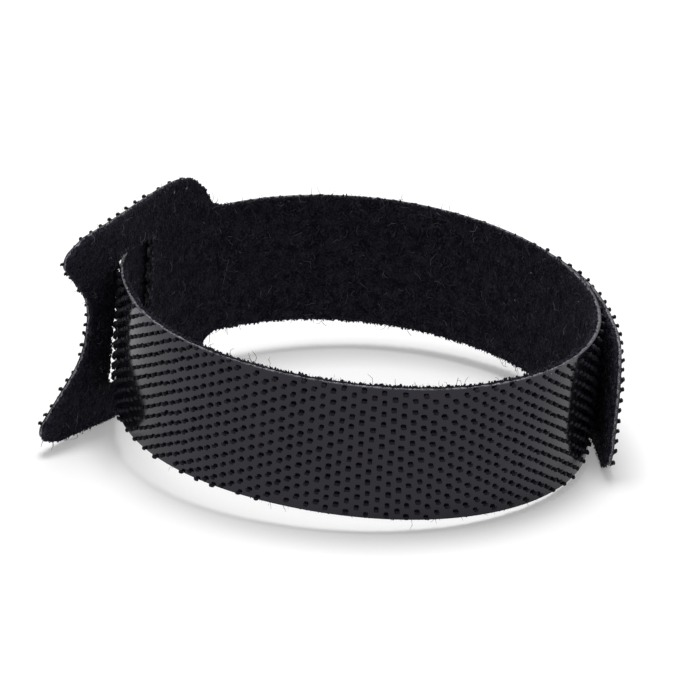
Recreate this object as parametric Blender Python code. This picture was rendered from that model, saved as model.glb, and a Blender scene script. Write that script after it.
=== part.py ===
"""Hook and loop cable tie, closed into a loop.

One strap, die cut from a laminate with hooks on one side and loop pile on the other. Its wide
head has a slot. The strap turns once round the loop with the hooks outside, passes out through
the slot, lies over its own first turn and ends in a free, rounded tail.

The strap is modelled flat, with s along it, c across it and t through its thickness, and is then
wrapped along its route. Lengths are in metres. Angles are in degrees, seen from above, and the
strap runs on clockwise from its head.
"""

import math

import bmesh
import bpy
from mathutils import Matrix, Vector

MM = 0.001

# The strap
STRAP_WIDTH = 12.0 * MM
STRAP_THICKNESS = 0.6 * MM
TAIL_CORNER = 4.4 * MM

# The head, from the strap's neck to the two ears at its end
HEAD_WIDTH = 19.8 * MM
NECK_TO_SLOT = 8.2 * MM
NECK_FILLET = 2.8 * MM
SHOULDER_RUN = 2.1 * MM
SHOULDER_RADIUS = 4.5 * MM
SLOT_TO_NOTCH = 3.35 * MM
NOTCH_DEPTH = 5.2 * MM
NOTCH_RADIUS = 5.05 * MM
EAR_WIDTH = 1.2 * MM
EAR_SLOPE = 0.9 * MM
EAR_TAPER = 2.5 * MM
EAR_RADIUS = 1.05 * MM

# How the head stands off the loop: twisted and raised towards its ears, and bent from its slot on
HEAD_TWIST_ANGLE = 6.3
HEAD_TWIST_LENGTH = 15.4 * MM
HEAD_RISE = 0.6 * MM
HEAD_BEND_ANGLE = -5.0

# The slot that the strap passes through, a little lower than the middle of the head
SLOT_NECK_CLEARANCE = 2.4 * MM
SLOT_EAR_CLEARANCE = 0.96 * MM
SLOT_SIDE_CLEARANCE = 0.7 * MM
SLOT_DROP = 0.2 * MM
SLOT_CORNER = 0.3 * MM

# The loop: a slightly egg-shaped oval, measured on the hook side of the first turn
LOOP_RADIUS = 20.21 * MM
OVAL_DEPTH = 0.78 * MM
OVAL_ANGLE = -32.6
EGG_DEPTH = 0.3 * MM
EGG_ANGLE = -39.6

# Where the strap does what, as angles round the loop
HEAD_LEAVES_ANGLE = 152.5
PASS_START_ANGLE = -168.0
PASS_END_ANGLE = -208.0
TAIL_LEAVES_ANGLE = -354.0

# The second turn lies outside the first, a little lower, and the tail stands off it
LAYER_GAP = 0.3 * MM
LAYER_DROP = 0.62 * MM
TAIL_LENGTH = 11.85 * MM
TAIL_BEND_ANGLE = -12.7

# How finely the route and the outline's curves are divided
ROUTE_STEP_ANGLE = 2.0
STATION_LENGTH = 1.2 * MM
ARC_STEP_ANGLE = 18.0
HEADING_STEP_ANGLE = 0.1
SLOT_STEPS = 400
STRAIGHT_CORNER_ANGLE = 179.0
SAME_POINT = 0.01 * MM

BLACK = (0.018, 0.018, 0.021, 1.0)
ROUGHNESS = 0.62


def smooth(x):
    """0 below 0, 1 above 1, and an even rise between."""
    x = min(max(x, 0.0), 1.0)
    return x * x * (3 - 2 * x)


def towards(heading, length):
    """A step of that length in a direction given in radians."""
    return Vector((math.cos(heading), math.sin(heading))) * length


def loop_radius(angle):
    """Distance from the loop's centre to the hook side of the first turn."""
    oval = OVAL_DEPTH * math.cos(2 * math.radians(angle - OVAL_ANGLE))
    egg = EGG_DEPTH * math.cos(3 * math.radians(angle - EGG_ANGLE))
    return LOOP_RADIUS + oval + egg


def passed(angle):
    """0 on the first turn and 1 on the second, rising where the strap passes through the slot."""
    return smooth((PASS_START_ANGLE - angle) / (PASS_START_ANGLE - PASS_END_ANGLE))


def round_the_loop(angle, side=0.0):
    """A point of the strap seen from above, side metres outside its middle surface."""
    outside = (STRAP_THICKNESS + LAYER_GAP) * passed(angle) - STRAP_THICKNESS / 2
    return towards(math.radians(angle), loop_radius(angle) + outside + side)


def heading_at(angle, way):
    """The strap's direction at an angle of the loop: way 1 is anticlockwise, and -1 clockwise."""
    step = round_the_loop(angle + HEADING_STEP_ANGLE * way) - round_the_loop(angle)
    return math.atan2(step.y, step.x)


def free_stretch(start, heading, length, bend):
    """Points of a stretch that leaves the loop and turns evenly by bend degrees in all."""
    count = math.ceil(length / STATION_LENGTH)
    points = [start]
    for i in range(count):
        turned = heading + math.radians(bend) * (i + 0.5) / count
        points.append(points[-1] + towards(turned, length / count))
    return points[1:]


def slot_reach():
    """How far from where the head leaves the loop its slot starts and ends, so that the strap
    passes through it clear of both ends."""
    start = round_the_loop(HEAD_LEAVES_ANGLE)
    along = towards(heading_at(HEAD_LEAVES_ANGLE, 1), 1.0)
    reach = []
    for i in range(SLOT_STEPS + 1):
        angle = PASS_START_ANGLE + (PASS_END_ANGLE - PASS_START_ANGLE) * i / SLOT_STEPS
        for side in (-STRAP_THICKNESS / 2, STRAP_THICKNESS / 2):
            step = round_the_loop(angle, side) - start
            aside = along.x * step.y - along.y * step.x
            if abs(aside) <= STRAP_THICKNESS / 2:
                reach.append(along.dot(step))
    return min(reach) - SLOT_NECK_CLEARANCE, max(reach) + SLOT_EAR_CLEARANCE


class Route:
    """The strap's middle surface seen from above, from the ends of the head's ears to the tail."""

    def __init__(self, head_length, slot_middle):
        whole = HEAD_LEAVES_ANGLE - TAIL_LEAVES_ANGLE
        count = math.ceil(whole / ROUTE_STEP_ANGLE)
        angles = [HEAD_LEAVES_ANGLE - whole * i / count for i in range(count + 1)]
        turns = [round_the_loop(angle) for angle in angles]
        leaving = heading_at(angles[0], 1)
        head = free_stretch(turns[0], leaving, head_length - slot_middle, 0.0)
        head += free_stretch(head[-1], leaving, slot_middle, HEAD_BEND_ANGLE)
        tail = free_stretch(turns[-1], heading_at(angles[-1], -1), TAIL_LENGTH, TAIL_BEND_ANGLE)
        self.points = head[::-1] + turns + tail
        self.passed = [0.0] * len(head) + [passed(angle) for angle in angles] + [1.0] * len(tail)
        self.runs = [0.0]
        for a, b in zip(self.points, self.points[1:]):
            self.runs.append(self.runs[-1] + (b - a).length)
        self.length = self.runs[-1]

    def direction(self, i):
        """The route's direction at one of its points."""
        before = self.points[max(i - 1, 0)]
        after = self.points[min(i + 1, len(self.points) - 1)]
        return (after - before).normalized()

    def at(self, s):
        """The point s from the head's end, the way out of the hook side, and how far it passed."""
        i = 0
        while i < len(self.runs) - 2 and self.runs[i + 1] < s:
            i += 1
        share = (s - self.runs[i]) / (self.runs[i + 1] - self.runs[i])
        point = self.points[i].lerp(self.points[i + 1], share)
        along = self.direction(i).lerp(self.direction(i + 1), share).normalized()
        turned = self.passed[i] + (self.passed[i + 1] - self.passed[i]) * share
        return point, Vector((-along.y, along.x)), turned


def fitting_radii(points, radii):
    """The corners' radii, each made smaller where two arcs would meet on the wall between them."""
    halves = []
    for i, corner in enumerate(points):
        before = points[i - 1] - corner
        after = points[(i + 1) % len(points)] - corner
        halves.append(before.angle(after) / 2)
    reaches = [radius / math.tan(half) for radius, half in zip(radii, halves)]
    shares = [1.0] * len(points)
    for i in range(len(points)):
        wall = (points[i] - points[i - 1]).length
        share = wall / max(reaches[i - 1] + reaches[i], wall)
        shares[i] = min(shares[i], share)
        shares[i - 1] = min(shares[i - 1], share)
    return [radius * share for radius, share in zip(radii, shares)]


def rounded(corners):
    """A closed outline with each corner (s, c, radius) replaced by an arc of that radius, or of the
    largest that the walls beside it leave room for."""
    points = [Vector((s, c)) for s, c, radius in corners]
    radii = fitting_radii(points, [radius for s, c, radius in corners])
    outline = []
    for i, (corner, radius) in enumerate(zip(points, radii)):
        before = (points[i - 1] - corner).normalized()
        after = (points[(i + 1) % len(points)] - corner).normalized()
        half = before.angle(after) / 2
        if half > math.radians(STRAIGHT_CORNER_ANGLE) / 2:
            outline.append(corner)
            continue
        middle = corner + (before + after).normalized() * (radius / math.sin(half))
        first = corner + before * (radius / math.tan(half)) - middle
        sweep = math.pi - 2 * half
        way = 1 if first.x * (corner - middle).y - first.y * (corner - middle).x > 0 else -1
        count = max(2, math.ceil(math.degrees(sweep) / ARC_STEP_ANGLE))
        for k in range(count + 1):
            outline.append(middle + Matrix.Rotation(way * sweep * k / count, 2) @ first)
    return outline


def flat_outline(slot_start, slot_end, length):
    """The die-cut shape: ears and notch, head, neck, strap and rounded tail."""
    half_head = HEAD_WIDTH / 2
    half_strap = STRAP_WIDTH / 2
    notch = slot_start - SLOT_TO_NOTCH
    neck = slot_end + NECK_TO_SLOT
    tip = half_head - EAR_SLOPE
    half = [
        (length, half_strap, TAIL_CORNER),
        (neck, half_strap, NECK_FILLET),
        (neck - SHOULDER_RUN, half_head, SHOULDER_RADIUS),
        (EAR_TAPER, half_head, EAR_TAPER),
        (0.0, tip, EAR_RADIUS),
        (0.0, tip - EAR_WIDTH, EAR_RADIUS),
        (notch, NOTCH_RADIUS / 2, NOTCH_RADIUS),
    ]
    mirrored = [(s, -c, radius) for s, c, radius in reversed(half)]
    return rounded(half + mirrored)


def flat_slot(slot_start, slot_end):
    """The slot's outline in the flat strap."""
    half = STRAP_WIDTH / 2 + SLOT_SIDE_CLEARANCE
    ends = ((slot_start, half), (slot_start, -half), (slot_end, -half), (slot_end, half))
    return rounded([(s, c - SLOT_DROP, SLOT_CORNER) for s, c in ends])


def prism(name, outline, thickness):
    """A flat plate with that outline, its middle surface at z = 0."""
    mesh = bpy.data.meshes.new(name)
    bm = bmesh.new()
    face = bm.faces.new([bm.verts.new((p.x, p.y, -thickness / 2)) for p in outline])
    face.normal_update()
    if face.normal.z > 0:
        face.normal_flip()
    grown = bmesh.ops.extrude_face_region(bm, geom=[face])["geom"]
    top = [v for v in grown if isinstance(v, bmesh.types.BMVert)]
    bmesh.ops.translate(bm, verts=top, vec=(0, 0, thickness))
    bmesh.ops.recalc_face_normals(bm, faces=bm.faces)
    bm.to_mesh(mesh)
    bm.free()
    plate = bpy.data.objects.new(name, mesh)
    bpy.context.scene.collection.objects.link(plate)
    return plate


def flat_strap(slot_start, slot_end, length):
    """The flat laminate with its slot, cut across at every station so that it can bend."""
    outline = flat_outline(slot_start, slot_end, length)
    strap = prism("strap", outline, STRAP_THICKNESS)
    cutter = prism("slot_cutter", flat_slot(slot_start, slot_end), 3 * STRAP_THICKNESS)
    cut = strap.modifiers.new("slot", "BOOLEAN")
    cut.object = cutter
    evaluated = strap.evaluated_get(bpy.context.evaluated_depsgraph_get())
    bm = bmesh.new()
    bm.from_mesh(evaluated.to_mesh())
    evaluated.to_mesh_clear()
    strap.modifiers.remove(cut)
    bpy.data.objects.remove(cutter)
    count = math.ceil(length / STATION_LENGTH)
    for i in range(1, count):
        geom = bm.verts[:] + bm.edges[:] + bm.faces[:]
        bmesh.ops.bisect_plane(
            bm, geom=geom, dist=SAME_POINT, plane_co=(length * i / count, 0, 0), plane_no=(1, 0, 0)
        )
    bmesh.ops.triangulate(bm, faces=bm.faces, quad_method="SHORT_EDGE", ngon_method="EAR_CLIP")
    return strap, bm


def wrap(bm, route):
    """Bends the flat strap along its route. The head twists and rises towards its ears, so that
    its lower ear stands out, and the second turn lies lower than the first."""
    for v in bm.verts:
        s, c, t = v.co
        point, out, turned = route.at(s)
        free = smooth(1 - s / HEAD_TWIST_LENGTH)
        twist = math.radians(HEAD_TWIST_ANGLE) * free
        aside = t * math.cos(twist) - c * math.sin(twist)
        up = c * math.cos(twist) + t * math.sin(twist)
        height = STRAP_WIDTH / 2 + HEAD_RISE * free - LAYER_DROP * turned
        v.co = (point.x + out.x * aside, point.y + out.y * aside, height + up)
    bmesh.ops.reverse_faces(bm, faces=bm.faces)


def centre_of_mass(bm):
    """The centre of the solid's volume."""
    total = 0.0
    moment = Vector()
    for face in bm.faces:
        a, b, c = (v.co for v in face.verts)
        volume = a.dot(b.cross(c)) / 6
        total += volume
        moment += (a + b + c) * (volume / 4)
    return moment / total


def resting_side(bm):
    """The way down when the strap stands on its lower edge at rest: out of the lowest face of its
    convex hull that has the centre of mass over it."""
    middle = centre_of_mass(bm)
    hull = bmesh.new()
    for v in bm.verts:
        hull.verts.new(v.co)
    made = bmesh.ops.convex_hull(hull, input=hull.verts)["geom"]
    stable = []
    for face in made:
        if not isinstance(face, bmesh.types.BMFace):
            continue
        face.normal_update()
        height = face.normal.dot(face.verts[0].co - middle)
        foot = middle + face.normal * height
        sides = []
        for loop in face.loops:
            a, b = loop.vert.co, loop.link_loop_next.vert.co
            sides.append(face.normal.dot((b - a).cross(foot - a)))
        if min(sides) >= 0:
            stable.append(face.normal.copy() if height > 0 else -face.normal)
    hull.free()
    return min(stable, key=lambda normal: normal.z)


def lay_at_rest(bm):
    """Turns the strap so that it stands at rest, with its origin under the middle of its box."""
    turn = resting_side(bm).rotation_difference(Vector((0, 0, -1))).to_matrix()
    bmesh.ops.rotate(bm, verts=bm.verts, cent=(0, 0, 0), matrix=turn)
    low = [min(v.co[k] for v in bm.verts) for k in range(3)]
    high = [max(v.co[k] for v in bm.verts) for k in range(3)]
    centre = Vector(((low[0] + high[0]) / 2, (low[1] + high[1]) / 2, low[2]))
    bmesh.ops.translate(bm, verts=bm.verts, vec=-centre)


def black_laminate():
    """The finish of the whole strap."""
    material = bpy.data.materials.new("black_laminate")
    material.use_nodes = True
    shader = material.node_tree.nodes["Principled BSDF"]
    shader.inputs["Base Color"].default_value = BLACK
    shader.inputs["Roughness"].default_value = ROUGHNESS
    shader.inputs["Metallic"].default_value = 0.0
    material.diffuse_color = BLACK
    return material


def main():
    for old in list(bpy.data.objects):
        bpy.data.objects.remove(old)
    slot_near, slot_far = slot_reach()
    head_length = slot_far + SLOT_TO_NOTCH + NOTCH_DEPTH
    slot_start = head_length - slot_far
    slot_end = head_length - slot_near
    route = Route(head_length, (slot_start + slot_end) / 2)
    strap, bm = flat_strap(slot_start, slot_end, route.length)
    wrap(bm, route)
    lay_at_rest(bm)
    bm.to_mesh(strap.data)
    bm.free()
    strap.data.materials.append(black_laminate())
    strap.data.shade_flat()


main()
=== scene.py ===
import math

import bpy
import numpy as np
from bpy.props import FloatProperty, FloatVectorProperty, IntProperty, PointerProperty
from mathutils import Euler, Matrix, Vector


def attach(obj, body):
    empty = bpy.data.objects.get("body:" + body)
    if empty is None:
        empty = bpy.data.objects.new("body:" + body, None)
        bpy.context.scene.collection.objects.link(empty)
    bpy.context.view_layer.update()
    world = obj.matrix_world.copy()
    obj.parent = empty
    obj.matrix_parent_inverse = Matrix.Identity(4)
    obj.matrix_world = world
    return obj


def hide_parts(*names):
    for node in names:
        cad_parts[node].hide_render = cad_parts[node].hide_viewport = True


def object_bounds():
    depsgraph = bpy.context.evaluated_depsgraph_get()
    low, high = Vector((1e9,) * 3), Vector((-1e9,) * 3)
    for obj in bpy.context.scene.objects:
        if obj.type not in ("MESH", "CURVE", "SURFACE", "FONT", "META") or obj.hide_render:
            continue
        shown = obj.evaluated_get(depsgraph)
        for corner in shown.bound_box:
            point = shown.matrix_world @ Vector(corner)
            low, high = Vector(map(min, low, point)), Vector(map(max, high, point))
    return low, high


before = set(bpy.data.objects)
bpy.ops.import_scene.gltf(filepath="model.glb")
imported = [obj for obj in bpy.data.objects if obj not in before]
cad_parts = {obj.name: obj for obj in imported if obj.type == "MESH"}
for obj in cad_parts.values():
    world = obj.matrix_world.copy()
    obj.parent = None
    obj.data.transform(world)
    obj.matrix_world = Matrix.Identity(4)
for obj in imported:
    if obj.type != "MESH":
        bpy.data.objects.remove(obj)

bl_info = {
    "name": "Hook and Loop Cable Tie",
    "version": (1, 0, 0),
    "blender": (4, 5, 0),
    "location": "3D View > Sidebar > Cable Tie",
    "description": "Dresses a closed hook and loop cable tie with its hooks, its pile and its cut edges",
    "category": "Object",
}

CAD_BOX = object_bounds()
MM = 0.001

# The strap and its head, as the frame has them
STRAP_WIDTH = 12.0 * MM
STRAP_THICKNESS = 0.6 * MM
TAIL_CORNER = 4.4 * MM
HEAD_WIDTH = 19.8 * MM
NECK_TO_SLOT = 8.2 * MM
NECK_FILLET = 2.8 * MM
SHOULDER_RUN = 2.1 * MM
SHOULDER_RADIUS = 4.5 * MM
SLOT_TO_NOTCH = 3.35 * MM
NOTCH_DEPTH = 5.2 * MM
NOTCH_RADIUS = 5.05 * MM
EAR_WIDTH = 1.2 * MM
EAR_SLOPE = 0.9 * MM
EAR_TAPER = 2.5 * MM
EAR_RADIUS = 1.05 * MM
HEAD_TWIST_ANGLE = 6.3
HEAD_TWIST_LENGTH = 15.4 * MM
HEAD_RISE = 0.6 * MM
HEAD_BEND_ANGLE = -5.0
SLOT_NECK_CLEARANCE = 2.4 * MM
SLOT_EAR_CLEARANCE = 0.96 * MM
SLOT_SIDE_CLEARANCE = 0.7 * MM
SLOT_DROP = 0.2 * MM
SLOT_CORNER = 0.3 * MM

# The loop that it is closed into, and how that leans at rest, as the frame has them
LOOP_RADIUS = 20.21 * MM
OVAL_DEPTH = 0.78 * MM
OVAL_ANGLE = -32.6
EGG_DEPTH = 0.3 * MM
EGG_ANGLE = -39.6
HEAD_LEAVES_ANGLE = 152.5
PASS_START_ANGLE = -168.0
PASS_END_ANGLE = -208.0
TAIL_LEAVES_ANGLE = -354.0
LAYER_GAP = 0.3 * MM
LAYER_DROP = 0.62 * MM
TAIL_LENGTH = 11.85 * MM
TAIL_BEND_ANGLE = -12.7
LEAN_ANGLE = 4.5268
LEAN_AXIS_ANGLE = 58.114
REST_CENTRE = Vector((-2.2562, 0.4334, -2.306)) * MM

# The laminate's layers, from its hook side inwards
FILM_THICKNESS = 0.1 * MM
CORE_THICKNESS = 0.2 * MM
CORE_RAGGEDNESS = 0.04 * MM

# How finely things are divided
ROUTE_STEP_ANGLE = 0.25
SLOT_STEPS = 400
FILM_STATION = 0.5 * MM
CORE_STATION = 0.3 * MM
ARC_STEP_ANGLE = 7.0
STRAIGHT_CORNER_ANGLE = 179.0
LAYER_EDGE_ANGLE = 40.0
HOOK_EDGE_ANGLE = 50.0
SAME_POINT = 0.001 * MM
NO_LENGTH = 1e-12
FIT_TOLERANCE = 0.06 * MM

# The hooks: one hook's place on the flat strap, how deep they are rooted, how much they lean and
# differ, the rows on each side of the middle, and how far they keep from the cut edges. Outside
# the clean stretch, those less than CUT_REACH past an edge are moved onto the strap.
HOOK_PLACE = (100.108 * MM, 0.232 * MM)
HOOK_ROOT = 0.02 * MM
HOOK_LEAN = 0.16
HOOK_UNEVENNESS = 0.14
HOOK_ROWS = 20
HOOK_MARGIN = 0.15 * MM
CUT_REACH = 0.22 * MM
CUT_MARGIN = 0.02 * MM
CLEAN_START = 22.0 * MM
CLEAN_END = 112.0 * MM

# The pile: how far it runs past the slot, on along the inside and before the tail's bend, how
# deep its fibres are rooted, and its soft patches
PILE_PAST_SLOT = 1.0 * MM
PILE_INSIDE = 126.0 * MM
PILE_BEFORE_TAIL = 6.0 * MM
PILE_DEPTH = -STRAP_THICKNESS / 2 + 0.06 * MM
CLUMP_SEED = 5
CLUMP_WAVES = 24
CLUMP_SIZE = 1.5 * MM
CLUMP_CONTRAST = 1.7

# A fibre's bends, as shares of its length, its shades, from 0 to 1, and its reflections' tint
FIBRE_CURL = 0.35
FIBRE_SWAY = 0.05
FIBRE_SHADE = 0.36
WORN_SHARE = 0.035
WORN_SHADE = 0.5
PILE_SHEEN = (0.72, 0.66, 1.0, 1.0)

# The loops and the nap of broken fibres: how far they keep inside the cut edges, the ranges of
# their lengths and heights, 0 where they come down again and 1 where they stay up, the points
# of their paths, and the power of their shades
LOOPS = (0.1 * MM, (0.45, 1.7), (0.5, 1.6), 0.0, 5, 2.2)
NAP = (0.05 * MM, (0.1, 0.5), (0.5, 1.4), 1.0, 3, 2.6)

# The tufts of the open pile: how far they keep inside the cut edges, and how far their middles
# lie in the ground and out of it
TUFT_MARGIN = 0.08 * MM
TUFT_IN = 0.04 * MM
TUFT_OUT = 0.02 * MM

# A tuft's half sizes, as shares of the tuft length, how far it is turned, and its shade
TUFT_SMALLEST = (0.2, 0.35, 0.12)
TUFT_LARGEST = (0.42, 0.75, 0.26)
TUFT_TURN = 0.5
TUFT_SHADE = 0.17

# The tufts on the cut edges: how far in and how deep they sit, with more of them near the pile,
# and the share that is kept past the head. On the slot's wall: how closely they stand, where its
# top starts, how far they hang over the slot and how many times paler their colour is made. That
# paleness is painted light: it lifts the unlit wall and paints a lit arc along the slot's top.
RIM_INSET = 0.06 * MM
RIM_DEPTH = 0.34 * MM
RIM_BIAS = 1.3
RIM_SHARE = 0.45
WALL_SPACING = 0.03 * MM
WALL_TOP = 6.3 * MM
WALL_REACH = 0.45 * MM
WALL_PAINTED_LIGHT = 6.0

# The fringe: how far in and how deep its fibres are rooted, how far they lean aside, and how much
# longer and denser it is in the slot
FRINGE_INSET = 0.12 * MM
FRINGE_DEPTH = 0.26 * MM
FRINGE_LEAN = 0.7
SLOT_FRINGE = 2.2

# How high above the floor the lowest shapes are kept
FLOOR_CLEARANCE = 0.01 * MM

# The lint: its half thickness, its lengths, and where the photo shows it on the flat strap, in
# millimetres along, across and through it
LINT_RADIUS = 0.035 * MM
LINT_SHORTEST = 0.14 * MM
LINT_LONGEST = 0.3 * MM
LINT_PLACES = (
    (115.1, 1.6, 0.31), (109.4, 1.8, 0.31), (111.3, -4.8, 0.31), (84.2, 5.7, 0.31),
    (56.7, 3.6, -0.42), (55.0, 0.3, -0.42), (65.3, 4.4, -0.42), (20.0, 9.2, -0.4), (18.2, 9.3, -0.4),
)

# Seeds of the pieces that don't follow the pile's own
CORE_SEED = 3
HOOK_SEED = 11
LINT_SEED = 17


# Settings


def length_setting(name, description, default, **limits):
    """A setting that is a length in metres."""
    return FloatProperty(name=name, description=description, default=default, unit="LENGTH", **limits)


def colour_setting(name, description, default):
    """A setting that is a colour."""
    return FloatVectorProperty(
        name=name, description=description, default=default, subtype="COLOR", size=3, min=0, max=1)


class TieHookSettings(bpy.types.PropertyGroup):
    """The moulded hooks on the outside of the strap."""

    pitch_along: length_setting(
        "Pitch along", "From one column of hooks to the next, along the strap",
        0.841 * MM, min=0.5 * MM)
    pitch_across: length_setting(
        "Pitch across", "From one hook to the next in a column, across the strap",
        0.978 * MM, min=0.5 * MM)
    drift: length_setting(
        "Drift", "How far across the strap the lattice moves with each column", 0.028 * MM)
    length: length_setting(
        "Length", "A hook's size along the strap, over both of its barbs", 0.45 * MM, min=0.1 * MM)
    width: length_setting("Width", "A hook's thickness across the strap", 0.24 * MM, min=0.1 * MM)
    height: length_setting(
        "Height", "How far a hook stands out of the strap", 0.31 * MM, min=0.1 * MM)


class TiePileSettings(bpy.types.PropertyGroup):
    """The brushed loop pile on the inside of the strap."""

    fibre_radius: length_setting(
        "Fibre radius", "Half of a fibre's thickness", 0.021 * MM, min=0.005 * MM)
    tufts_per_mm2: FloatProperty(
        name="Tufts", description="Matted tufts on each square millimetre", default=5.0, min=0.5)
    tuft_length: length_setting(
        "Tuft length", "A middling tuft's size across the strap", 0.36 * MM, min=0.1 * MM)
    loop_length: length_setting(
        "Loop length", "A middling loop's length along the fabric", 0.9 * MM, min=0.2 * MM)
    loop_height: length_setting(
        "Loop height", "How far a middling loop stands out of the fabric", 0.16 * MM, min=0.02 * MM)
    loops_per_mm2: FloatProperty(
        name="Loops", description="Loops on each square millimetre", default=4.0, min=0.5)
    nap_height: length_setting(
        "Nap height", "How far a middling broken fibre stands out of the fabric",
        0.22 * MM, min=0.02 * MM)
    nap_per_mm2: FloatProperty(
        name="Nap", description="Broken fibres on each square millimetre", default=5.5, min=0.5)
    fringe_length: length_setting(
        "Fringe length", "How far a middling fibre sticks out past a cut edge",
        0.26 * MM, min=0.02 * MM)
    fringe_per_mm: FloatProperty(
        name="Fringe", description="Fibres on each millimetre of cut edge", default=20.0, min=0.5)
    seed: IntProperty(name="Seed", description="Another seed lays the fibres another way", default=7)


class TieColours(bpy.types.PropertyGroup):
    """The colours of the tie."""

    film: colour_setting("Film", "The smooth film between the hooks", (0.0038, 0.0035, 0.0048))
    sheen: colour_setting(
        "Film sheen", "What the film's reflections are tinted with", (0.88, 0.83, 1.0))
    hook: colour_setting("Hooks", "The moulded hooks", (0.0075, 0.0065, 0.0108))
    core: colour_setting("Cut edge", "The bonded core, where the die cut it", (0.085, 0.083, 0.095))
    pile: colour_setting("Pile", "The darkest fibres of the pile", (0.003, 0.0027, 0.005))
    worn_pile: colour_setting("Worn pile", "The lightest fibres of the pile", (0.17, 0.16, 0.19))
    lint: colour_setting(
        "Lint", "Specks of lint that the hooks and the pile have caught", (0.42, 0.41, 0.4))


class TieStudioSettings(bpy.types.PropertyGroup):
    """The studio: a pale floor, a soft light overhead and the camera."""

    camera_place: FloatVectorProperty(
        name="Camera", description="Where the camera stands", subtype="XYZ", size=3, unit="LENGTH",
        default=(-1.755 * MM, -323.126 * MM, 144.953 * MM))
    camera_elevation: FloatProperty(
        name="Elevation", description="How far down the camera looks", unit="ROTATION",
        default=math.radians(22.956))
    camera_azimuth: FloatProperty(
        name="Azimuth", description="How far round to the right the camera looks", unit="ROTATION",
        default=math.radians(0.666))
    camera_roll: FloatProperty(
        name="Roll", description="How far the camera is rolled anticlockwise", unit="ROTATION",
        default=math.radians(0.025))
    focal_length: FloatProperty(
        name="Focal length", description="In millimetres, on a sensor 36 mm wide", default=207.33)
    sky_strength: FloatProperty(
        name="Sky", description="How brightly the white room lights the tie", default=0.5, min=0)
    softbox_energy: FloatProperty(
        name="Softbox", description="The overhead light's power in watts", default=3.4, min=0)
    floor: colour_setting("Floor", "The pale floor", (0.8, 0.8, 0.8))
    floor_glow: FloatProperty(
        name="Floor glow", description="What the camera sees on the floor besides the light on it",
        default=0.22, min=0)


# The strap's route


def smooth(x):
    """0 below 0, 1 above 1, and an even rise between."""
    x = np.clip(x, 0.0, 1.0)
    return x * x * (3 - 2 * x)


def loop_radius(angle):
    """Distance from the loop's centre to the hook side of the first turn."""
    oval = OVAL_DEPTH * np.cos(2 * np.radians(angle - OVAL_ANGLE))
    egg = EGG_DEPTH * np.cos(3 * np.radians(angle - EGG_ANGLE))
    return LOOP_RADIUS + oval + egg


def passed(angle):
    """0 on the first turn and 1 on the second, rising where the strap passes through the slot."""
    return smooth((PASS_START_ANGLE - angle) / (PASS_START_ANGLE - PASS_END_ANGLE))


def round_the_loop(angle, side=0.0):
    """Points of the strap seen from above, side metres outside its middle surface."""
    angle = np.asarray(angle, float)
    outside = (STRAP_THICKNESS + LAYER_GAP) * passed(angle) - STRAP_THICKNESS / 2
    radius = loop_radius(angle) + outside + side
    return np.stack([np.cos(np.radians(angle)), np.sin(np.radians(angle))], -1) * radius[..., None]


def heading_at(angle, way):
    """The strap's direction at an angle of the loop: way 1 is anticlockwise, and -1 clockwise."""
    step = round_the_loop(angle + ROUTE_STEP_ANGLE * way) - round_the_loop(angle)
    return math.atan2(step[1], step[0])


def free_stretch(start, heading, length, bend):
    """Points of a stretch that leaves the loop and turns evenly by bend degrees in all."""
    count = math.ceil(length / FILM_STATION)
    turned = heading + np.radians(bend) * (np.arange(count) + 0.5) / count
    steps = np.stack([np.cos(turned), np.sin(turned)], -1) * length / count
    return start + np.cumsum(steps, 0)


def slot_reach():
    """How far from where the head leaves the loop its slot starts and ends."""
    start = round_the_loop(HEAD_LEAVES_ANGLE)
    heading = heading_at(HEAD_LEAVES_ANGLE, 1)
    angles = np.linspace(PASS_START_ANGLE, PASS_END_ANGLE, SLOT_STEPS + 1)
    sides = [round_the_loop(angles, side) for side in (-STRAP_THICKNESS / 2, STRAP_THICKNESS / 2)]
    step = np.concatenate(sides) - start
    along = step[:, 0] * math.cos(heading) + step[:, 1] * math.sin(heading)
    aside = step[:, 1] * math.cos(heading) - step[:, 0] * math.sin(heading)
    crossing = along[abs(aside) <= STRAP_THICKNESS / 2]
    return crossing.min() - SLOT_NECK_CLEARANCE, crossing.max() + SLOT_EAR_CLEARANCE


SLOT_NEAR, SLOT_FAR = slot_reach()
HEAD_LENGTH = SLOT_FAR + SLOT_TO_NOTCH + NOTCH_DEPTH
SLOT_START = HEAD_LENGTH - SLOT_FAR
SLOT_END = HEAD_LENGTH - SLOT_NEAR
SLOT_MIDDLE = (SLOT_START + SLOT_END) / 2


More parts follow.
